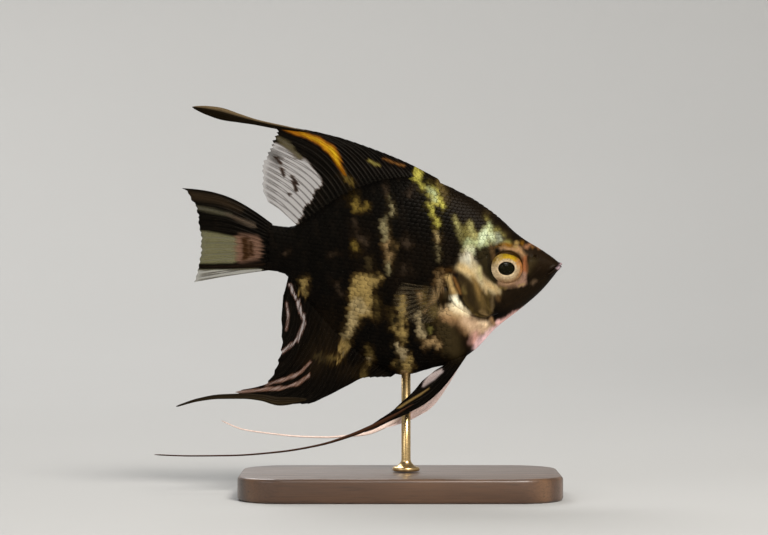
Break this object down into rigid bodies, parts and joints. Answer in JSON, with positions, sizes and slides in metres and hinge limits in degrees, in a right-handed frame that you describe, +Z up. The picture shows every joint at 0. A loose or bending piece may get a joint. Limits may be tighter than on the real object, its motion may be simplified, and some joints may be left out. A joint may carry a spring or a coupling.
{
  "type": "marble angelfish model on a display stand",
  "caption": "Life-size still model of a marble angelfish with swept-back long fins, held by a thin rod on a flat wooden base.",
  "frame": {"origin": "middle of the underside of the stand's base, on the surface it stands on", "axes": "+X towards the fish's snout and along the base, +Y towards the fish's left flank, +Z up"},
  "size_m": [0.1017, 0.046, 0.0981],
  "materials": {
    "skin": "wet-looking scaled skin, black to dark brown, marbled with gold, cream and olive",
    "gill_cover": "smooth olive-brown skin with a silvery and mint sheen",
    "fin": "black-brown fin membrane between fine rays, with a gold streak and paler panes",
    "clear_fin": "clear, faintly smoky membrane between fine rays",
    "eye": "polished, a cream and gold iris round a black pupil",
    "stand_wood": "satin dark walnut",
    "stand_metal": "brushed, slightly dulled"
  },
  "bodies": {
    "root": {"head": "skin", "trunk": "skin", "tail_stalk": "skin", "gill_cover_right": "gill_cover", "gill_cover_left": "gill_cover", "eye_right": "eye", "eye_left": "eye", "dorsal_fin": "fin", "anal_fin": "fin", "tail_fin": "fin", "pelvic_fin_right": "fin", "pelvic_fin_left": "fin", "pectoral_fin_right": "clear_fin", "pectoral_fin_left": "clear_fin", "stand_base": "stand_wood", "stand_rod": "stand_metal"}
  },
  "joints": []
}
